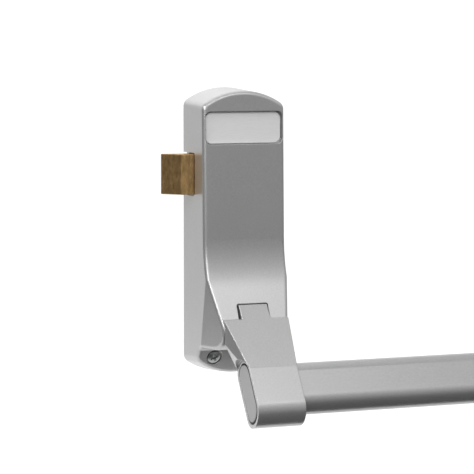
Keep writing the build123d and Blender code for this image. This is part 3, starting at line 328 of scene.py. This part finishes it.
def finish_material(name, colour, metallic, rough, grain, cloud, peel, edge, edge_radius,
                    stretch=(1, 1, 1), wear_and_edge_light=1.1, coat=0.0):
    """One finish, on object coordinates times stretch. Scales are per metre.

    grain is fine noise: its scale, and how much it varies the colour and the roughness. cloud is broad
    noise: its scale, and how much it varies the colour. peel is the bump: its scale, strength and depth.
    Within edge_radius of an edge, patches are brighter by a factor and smoother by edge: partly edge wear
    and partly a painted highlight along the edge.
    """
    made = bpy.data.materials.new(name)
    made.use_nodes = True
    tree = made.node_tree
    tree.nodes.clear()
    where = add_node(tree, "ShaderNodeTexCoord").outputs["Object"]
    where = add_node(tree, "ShaderNodeMapping", {"Vector": where, "Scale": stretch}).outputs[0]
    fine = noise(tree, where, grain[0], 3.0, 0.6)
    broad = noise(tree, where, cloud[0], 3.0, 0.55)
    factor = maths(tree, "MULTIPLY", span(tree, fine, 1 - grain[1], 1 + grain[1], 0.25, 0.75),
                   span(tree, broad, 1 - cloud[1], 1 + cloud[1], 0.3, 0.7))
    # painted highlight along edges: near an edge the colour is brightened in noisy patches, partly as wear
    bent, near_edge = rounded_edges(tree, edge_radius)
    patches = span(tree, noise(tree, where, WEAR_AND_EDGE_LIGHT_SCALE), 0.2, 1.0, 0.35, 0.65)
    patchy_edge_light = maths(tree, "MULTIPLY", near_edge, patches)
    factor = maths(tree, "MULTIPLY", factor, span(tree, patchy_edge_light, 1.0, wear_and_edge_light, 0.0, 1.0))
    roughness = maths(tree, "ADD", span(tree, fine, rough - grain[2], rough + grain[2], 0.25, 0.75),
                      span(tree, patchy_edge_light, 0.0, -edge, 0.0, 1.0))
    skin = noise(tree, where, peel[0], 2.0)
    bump = add_node(tree, "ShaderNodeBump", {"Strength": peel[1], "Distance": peel[2], "Height": skin,
                                             "Normal": bent})
    body = add_node(tree, "ShaderNodeBsdfPrincipled",
                    {"Base Color": tinted(tree, colour, factor), "Metallic": metallic,
                     "Roughness": roughness, "Coat Weight": coat, "Coat Roughness": COAT_ROUGH,
                     "Normal": bump.outputs[0]})
    out = add_node(tree, "ShaderNodeOutputMaterial", {"Surface": body.outputs[0]})
    out.is_active_output = True
    return made


def darkened(material, share, dark):
    """The material's colour goes over to a dark one where the share, a socket in its tree, nears 1."""
    tree = material.node_tree
    body = next(node for node in tree.nodes if node.type == "BSDF_PRINCIPLED")
    plain = body.inputs["Base Color"].links[0].from_socket
    mixed = add_node(tree, "ShaderNodeMix", {"Factor": share, "A": plain, "B": (*dark, 1)},
                     data_type="RGBA")
    tree.links.new(mixed.outputs["Result"], body.inputs["Base Color"])


def dress(material, *nodes):
    """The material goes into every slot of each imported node."""
    for name in nodes:
        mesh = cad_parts[name].data
        if not mesh.materials:
            mesh.materials.append(material)
        for slot in range(len(mesh.materials)):
            mesh.materials[slot] = material


def finished(piece, material, slot, body, *nodes):
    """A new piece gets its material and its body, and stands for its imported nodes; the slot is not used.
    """
    piece.data.materials.append(material)
    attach(piece, body)
    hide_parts(*nodes)


# pieces

class LATCH_OT_painted_castings(bpy.types.Operator):
    """Silver paint on the housing, the arm and the bar"""
    bl_idname = "latch.painted_castings"
    bl_label = "Painted castings"

    def execute(self, context):
        look = context.scene.latch_finish
        paint = dict(metallic=0.72, rough=look.paint_roughness, edge=0.06, coat=0.4)
        cast = dict(paint, grain=(1100, 0.09, 0.06), cloud=(24, 0.02), peel=(520, 0.10, 0.08 * MM))
        drawn = dict(paint, grain=(1100, 0.08, 0.06), cloud=(20, 0.02), peel=(520, 0.08, 0.08 * MM))
        # the higher factors on the housing and the arm also paint highlight lines along their rounded edges
        cover = finish_material("silver paint", look.paint, edge_radius=0.8 * MM, wear_and_edge_light=1.35, **cast)
        dress(cover, "cover")
        arm = finish_material("arm paint", look.paint, edge_radius=1.0 * MM, wear_and_edge_light=1.5, **cast)
        dress(arm, "arm")
        bar = finish_material("bar paint", darker(look.paint, BAR_SHARE), edge_radius=0.5 * MM,
                              stretch=(0.4, 1, 1), **drawn)
        dress(bar, "push_bar")
        return {"FINISHED"}


class LATCH_OT_bolt(bpy.types.Operator):
    """Tarnished brass on the latch bolt, with painted shade that makes the bevel at its tip darker and
    browner
    """
    bl_idname = "latch.bolt"
    bl_label = "Latch bolt"

    def execute(self, context):
        look = context.scene.latch_finish
        brass = finish_material("tarnished brass", look.brass, metallic=0.95, rough=0.42,
                                grain=(900, 0.14, 0.10), cloud=(260, 0.30), peel=(700, 0.20, 0.10 * MM),
                                edge=0.10, edge_radius=0.35 * MM, stretch=(1.5, 1, 0.45), wear_and_edge_light=1.3)
        tree = brass.node_tree
        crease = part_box("latch_bolt")[0].x + BEVEL_LONG
        where = add_node(tree, "ShaderNodeTexCoord").outputs["Object"]
        x = add_node(tree, "ShaderNodeSeparateXYZ", {0: where}).outputs["X"]
        # painted shade: the bevel at the tip goes darker and browner, up to the crease
        painted_bevel_shade = span(tree, x, look.bevel_shade, 0.0, crease - BEVEL_BLEND, crease + BEVEL_BLEND)
        darkened(brass, painted_bevel_shade, BEVEL_SHADE_BROWN)
        dress(brass, "latch_bolt")
        return {"FINISHED"}


class LATCH_OT_inner_metals(bpy.types.Operator):
    """Plated steel, springs, screws and bronze bushes behind the cover"""
    bl_idname = "latch.inner_metals"
    bl_label = "Inner metals"

    def execute(self, context):
        look = context.scene.latch_finish
        zinc = finish_material("zinc plated steel", look.zinc, metallic=0.95, rough=0.38,
                               grain=(1100, 0.06, 0.07), cloud=(60, 0.07), peel=(900, 0.08, 0.05 * MM),
                               edge=0.08, edge_radius=0.3 * MM, stretch=(1, 1, 0.35))
        spring = finish_material("spring steel", darker(look.zinc, SPRING_SHARE), metallic=0.95, rough=0.33,
                                 grain=(1600, 0.08, 0.06), cloud=(90, 0.08), peel=(900, 0.06, 0.04 * MM),
                                 edge=0.08, edge_radius=0.1 * MM)
        screw = finish_material("bright screw steel", darker(look.zinc, SCREW_SHARE), metallic=0.95,
                                rough=0.30, grain=(1500, 0.06, 0.06), cloud=(120, 0.06),
                                peel=(1200, 0.06, 0.04 * MM), edge=0.08, edge_radius=0.2 * MM)
        bronze = finish_material("sintered bronze", look.bronze, metallic=0.9, rough=0.48,
                                 grain=(1800, 0.14, 0.10), cloud=(70, 0.08), peel=(1600, 0.14, 0.06 * MM),
                                 edge=0.10, edge_radius=0.2 * MM)
        dress(zinc, "back_plate", "pivot_bracket", "bracket_rivets", "pivot_shaft", "shaft_clip_left",
              "shaft_clip_right", "lift_slide", "slide_bridge", "slide_rivet", "bell_crank", "crank_pin",
              "crank_clip", "bolt_strap_front", "bolt_strap_rear", "spring_bracket", "upper_post",
              "lower_lug_left", "lower_lug_right")
        dress(spring, "lift_spring", "bolt_spring")
        dress(screw, "upper_screw", "clamp_screws")
        dress(bronze, "arm_bush_left", "arm_bush_right", "crank_bush")
        return {"FINISHED"}


class LATCH_OT_name_plate(bpy.types.Operator):
    """The bare name plate near the housing's top, with a soft front edge"""
    bl_idname = "latch.name_plate"
    bl_label = "Name plate"

    def execute(self, context):
        look, size = context.scene.latch_finish, context.scene.latch_sizes
        low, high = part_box("name_plate")
        width, height = high.x - low.x - 2 * PLATE_GAP, high.z - low.z - 2 * PLATE_GAP
        origin = ((low.x + high.x) / 2, high.y, (low.z + high.z) / 2)
        piece = slab("bare_name_plate", width, height, size.plate_radius, high.y - low.y,
                     size.plate_edge, (origin, (1, 0, 0), (0, 0, 1), (0, -1, 0)))
        satin = finish_material("satin plate", look.plate, metallic=0.0, rough=0.40,
                                grain=(1400, 0.035, 0.05), cloud=(16, 0.02), peel=(900, 0.04, 0.04 * MM),
                                edge=0.05, edge_radius=0.2 * MM, stretch=(0.12, 1, 1))
        finished(piece, satin, "plate_satin", "housing_body", "name_plate")
        return {"FINISHED"}


class LATCH_OT_end_cap(bpy.types.Operator):
    """The plug in the sleeve's open end: a rounded face, and its foot painted near black as painted shade
    for the shadow in the groove round it
    """
    bl_idname = "latch.end_cap"
    bl_label = "Bar end cap"

    def execute(self, context):
        look, size = context.scene.latch_finish, context.scene.latch_sizes
        low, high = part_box("bar_end_cap")
        long, wide = CAP_PLUG
        thick = high.x - low.x
        along = np.array((0.0, sin(FACE_LEAN), cos(FACE_LEAN)))
        across = np.array((0.0, -cos(FACE_LEAN), sin(FACE_LEAN)))
        high_end = np.array((high.x, high.y - wide / 2, high.z - wide / 2))
        origin = high_end - along * (long - wide) / 2
        face = (wide - 2 * CAP_STEP, long - 2 * CAP_STEP)
        piece = slab("rounded_end_cap", *face, np.array(CAP_CORNERS) * face[0], thick, size.cap_edge,
                     (origin, across, along, (-1, 0, 0)), CAP_STEP, thick - CAP_FACE_RISE)
        # painted shade: the foot's points are marked so that the cap's colour goes near black there,
        # standing in for the shadow in the groove
        on_foot = np.arange(len(piece.data.vertices)) < FOOT_RINGS * 4 * CORNER_POINTS
        painted_groove_shade = piece.data.attributes.new("painted_groove_shade", "FLOAT", "POINT")
        painted_groove_shade.data.foreach_set("value", on_foot.astype(float))
        moulded = finish_material("moulded cap", look.cap, metallic=0.0, rough=0.45,
                                  grain=(1800, 0.03, 0.04), cloud=(30, 0.015), peel=(1400, 0.10, 0.05 * MM),
                                  edge=0.04, edge_radius=0.35 * MM)
        # painted shade: the marked foot is darkened to near black
        ring = add_node(moulded.node_tree, "ShaderNodeAttribute", attribute_name="painted_groove_shade")
        darkened(moulded, ring.outputs["Fac"], GROOVE_SHADE_BLACK)
        finished(piece, moulded, "cap_grey", "arm_body", "bar_end_cap")
        return {"FINISHED"}


class LATCH_OT_cover_screws(bpy.types.Operator):
    """Domed cross-head screws in the lower panel"""
    bl_idname = "latch.cover_screws"
    bl_label = "Cover screws"

    def execute(self, context):
        look, size = context.scene.latch_finish, context.scene.latch_sizes
        out = np.array((0.0, -cos(PANEL_LEAN), -sin(PANEL_LEAN)))
        up = np.array((0.0, -sin(PANEL_LEAN), cos(PANEL_LEAN)))
        steel = finish_material("cover screw steel", darker(look.zinc, COVER_SCREW_SHARE), metallic=0.95,
                                rough=0.30, grain=(1500, 0.08, 0.06), cloud=(160, 0.10),
                                peel=(1200, 0.08, 0.05 * MM), edge=0.08, edge_radius=0.2 * MM)
        for side, turned in SCREW_TURNS.items():
            low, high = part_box("lower_screw_" + side)
            # The head's front disc touches the box with its upper end in Y and with its lower end in Z.
            top = np.array(((low.x + high.x) / 2, low.y - up[1] * HEAD_R, low.z + up[2] * HEAD_R))
            across = np.array((1.0, 0.0, 0.0)) * cos(turned) + up * sin(turned)
            piece = cross_screw("cover_screw_" + side, size.screw_dome, size.recess_arm, size.recess_depth,
                                (top - out * HEAD_H, across, np.cross(out, across), out))
            finished(piece, steel, "screw_steel", "housing_body", "lower_screw_" + side)
        return {"FINISHED"}


# stage

def studio_world():
    """The world's tree and its room: the brightness that lights the latch, by the direction alone.

    White behind the latch, ROOM_BY_HEIGHT elsewhere, and dimmer from the left.
    """
    world = bpy.data.worlds.new("studio")
    bpy.context.scene.world = world
    world.use_nodes = True
    tree = world.node_tree
    tree.nodes.clear()
    way = add_node(tree, "ShaderNodeTexCoord").outputs["Generated"]
    parts = add_node(tree, "ShaderNodeSeparateXYZ", {0: way})
    ramp = tree.nodes.new("ShaderNodeValToRGB")
    tree.links.new(span(tree, parts.outputs["Z"], 0.0, 1.0, -1.0, 1.0), ramp.inputs[0])
    while len(ramp.color_ramp.elements) < len(ROOM_BY_HEIGHT):
        ramp.color_ramp.elements.new(0.5)
    for stop, (at, value) in zip(ramp.color_ramp.elements, ROOM_BY_HEIGHT):
        stop.position = at
        stop.color = (value, value, value, 1)
    behind = add_node(tree, "ShaderNodeMapRange",
                      {"Value": parts.outputs["Y"], "From Min": 0.45, "From Max": 1.0},
                      interpolation_type="SMOOTHSTEP").outputs["Result"]
    behind = maths(tree, "MULTIPLY", behind, span(tree, parts.outputs["X"], 0.50, 1.0, -0.60, -0.30))
    left = span(tree, parts.outputs["X"], 0.60, 1.0, -0.95, -0.35)
    front = add_node(tree, "ShaderNodeVectorMath", {0: ramp.outputs[0], "Scale": left}, operation="SCALE")
    room = add_node(tree, "ShaderNodeMix", {"Factor": behind, "A": front.outputs[0], "B": (1, 1, 1, 1)},
                    data_type="RGBA")
    return tree, room.outputs["Result"]


class LATCH_OT_stage(bpy.types.Operator):
    """Floor, backdrop, soft light and the camera"""
    bl_idname = "latch.stage"
    bl_label = "Stage"

    def execute(self, context):
        stage = context.scene.latch_stage
        self.sweep(stage)
        self.light(context, stage)
        self.camera(context, stage)
        context.scene.view_settings.view_transform = "Standard"
        return {"FINISHED"}

    def sweep(self, stage):
        """The floor and backdrop in one sheet: flat to the bend, a quarter circle, then upright.

        It glows for the camera, for gloss and for glass, and takes light as a mid grey.
        """
        front, left, right = -0.072, -0.46, 1.3
        back, bend, tall = 0.9, 0.5, 1.8
        grey, glow = 0.50, 0.73
        turn = np.linspace(0, pi / 2, 17)
        y = np.concatenate([[front, 0.0], back + bend * np.sin(turn), [back + bend]])
        z = np.concatenate([[0.0, 0.0], bend * (1 - np.cos(turn)), [tall]]) - stage.floor_drop
        x = np.linspace(left, right, 9)
        points = np.stack(np.broadcast_arrays(x[None, :], y[:, None], z[:, None]), -1).reshape(-1, 3)
        k, i = np.meshgrid(np.arange(len(y) - 1), np.arange(len(x) - 1), indexing="ij")
        corner = k * len(x) + i
        faces = np.stack([corner, corner + 1, corner + len(x) + 1, corner + len(x)], -1)
        floor = mesh_object("floor_sweep", points, faces.reshape(-1, 4).tolist())
        pale = bpy.data.materials.new("pale sweep")
        pale.use_nodes = True
        tree = pale.node_tree
        tree.nodes.clear()
        ray = add_node(tree, "ShaderNodeLightPath").outputs
        shown = maths(tree, "MAXIMUM", ray["Is Camera Ray"], ray["Is Glossy Ray"])
        shown = maths(tree, "MAXIMUM", shown, ray["Is Transmission Ray"])
        matte = add_node(tree, "ShaderNodeBsdfDiffuse", {"Color": (grey, grey, grey, 1)})
        bright = add_node(tree, "ShaderNodeEmission",
                          {"Color": (1, 1, 1, 1), "Strength": span(tree, shown, 0.0, glow)})
        both = add_node(tree, "ShaderNodeAddShader", {0: matte.outputs[0], 1: bright.outputs[0]})
        add_node(tree, "ShaderNodeOutputMaterial", {"Surface": both.outputs[0]})
        floor.data.materials.append(pale)

    def light(self, context, stage):
        """The studio's world, white for the camera, and the area lamps."""
        tree, room = studio_world()
        seen = add_node(tree, "ShaderNodeLightPath").outputs["Is Camera Ray"]
        shade = add_node(tree, "ShaderNodeBackground", {"Color": room, "Strength": stage.room})
        white = add_node(tree, "ShaderNodeBackground", {"Color": (1, 1, 1, 1), "Strength": 1.0})
        pick = add_node(tree, "ShaderNodeMixShader", {0: seen, 1: shade.outputs[0], 2: white.outputs[0]})
        add_node(tree, "ShaderNodeOutputWorld", {"Surface": pick.outputs[0]})
        for name, (share, *shape) in LAMPS.items():
            self.lamp(context, name, stage.lamp_power * share, *shape)

    def lamp(self, context, name, power, azimuth, elevation, wide, tall):
        """An area lamp at an azimuth to the right and an elevation, facing the housing's middle."""
        a, e = radians(azimuth), radians(elevation)
        at = Vector((sin(a) * cos(e), -cos(a) * cos(e), sin(e))) * LAMP_FAR
        data = bpy.data.lights.new(name, "AREA")
        data.shape, data.size, data.size_y, data.energy = "RECTANGLE", wide, tall, power
        lamp = bpy.data.objects.new(name, data)
        lamp.location = at
        lamp.rotation_euler = (-at).to_track_quat("-Z", "Y").to_euler()
        lamp.visible_camera = False
        context.scene.collection.objects.link(lamp)

    def camera(self, context, stage):
        """Aimed by azimuth and elevation, then slid sideways and up or down.

        It slides until the housing's middle falls on the column and the row of the settings.
        """
        a, e, far, focal = stage.azimuth, stage.elevation, stage.distance, stage.focal
        back = Vector((-sin(a) * cos(e), -cos(a) * cos(e), sin(e)))
        right = Vector((cos(a), -sin(a), 0))
        above = back.cross(right)
        aside, raised = (stage.column - 0.5) / focal * far, (stage.row - 0.5) / focal * far
        at = back * far - right * aside + above * raised
        data = bpy.data.cameras.new("camera")
        data.sensor_width = 36.0
        data.sensor_fit = "HORIZONTAL"
        data.lens = focal * data.sensor_width
        data.clip_start, data.clip_end = 0.05, 20
        camera = bpy.data.objects.new("camera", data)
        turned = Matrix((right, above, back)).transposed().to_4x4()
        camera.matrix_world = Matrix.Translation(at) @ turned
        context.scene.collection.objects.link(camera)
        context.scene.camera = camera


class LATCH_PT_panel(bpy.types.Panel):
    """Every setting, and a button for each step"""
    bl_label = "Panic latch"
    bl_idname = "LATCH_PT_panel"
    bl_space_type = "VIEW_3D"
    bl_region_type = "UI"
    bl_category = "Latch"

    def draw(self, context):
        for name in GROUPS:
            group = getattr(context.scene, name)
            for key in group.bl_rna.properties.keys():
                if key not in ("rna_type", "name"):
                    self.layout.prop(group, key)
        for step in STEPS:
            self.layout.operator(step.bl_idname)


GROUPS = {"latch_finish": LatchFinish, "latch_sizes": LatchSizes, "latch_stage": LatchStage}
STEPS = (LATCH_OT_painted_castings, LATCH_OT_bolt, LATCH_OT_inner_metals, LATCH_OT_name_plate,
         LATCH_OT_end_cap, LATCH_OT_cover_screws, LATCH_OT_stage)


def register():
    """Adds the settings to the scene, then the steps and the panel."""
    for key, group in GROUPS.items():
        bpy.utils.register_class(group)
        setattr(bpy.types.Scene, key, bpy.props.PointerProperty(type=group))
    for step in STEPS:
        bpy.utils.register_class(step)
    bpy.utils.register_class(LATCH_PT_panel)


def unregister():
    """Takes away what register adds, the other way round."""
    bpy.utils.unregister_class(LATCH_PT_panel)
    for step in reversed(STEPS):
        bpy.utils.unregister_class(step)
    for key, group in GROUPS.items():
        delattr(bpy.types.Scene, key)
        bpy.utils.unregister_class(group)


def main():
    """Runs every step in order."""
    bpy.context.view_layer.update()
    register()
    bpy.ops.latch.painted_castings()
    bpy.ops.latch.bolt()
    bpy.ops.latch.inner_metals()
    bpy.ops.latch.name_plate()
    bpy.ops.latch.end_cap()
    bpy.ops.latch.cover_screws()
    bpy.ops.latch.stage()


if __name__ == "__main__":
    main()
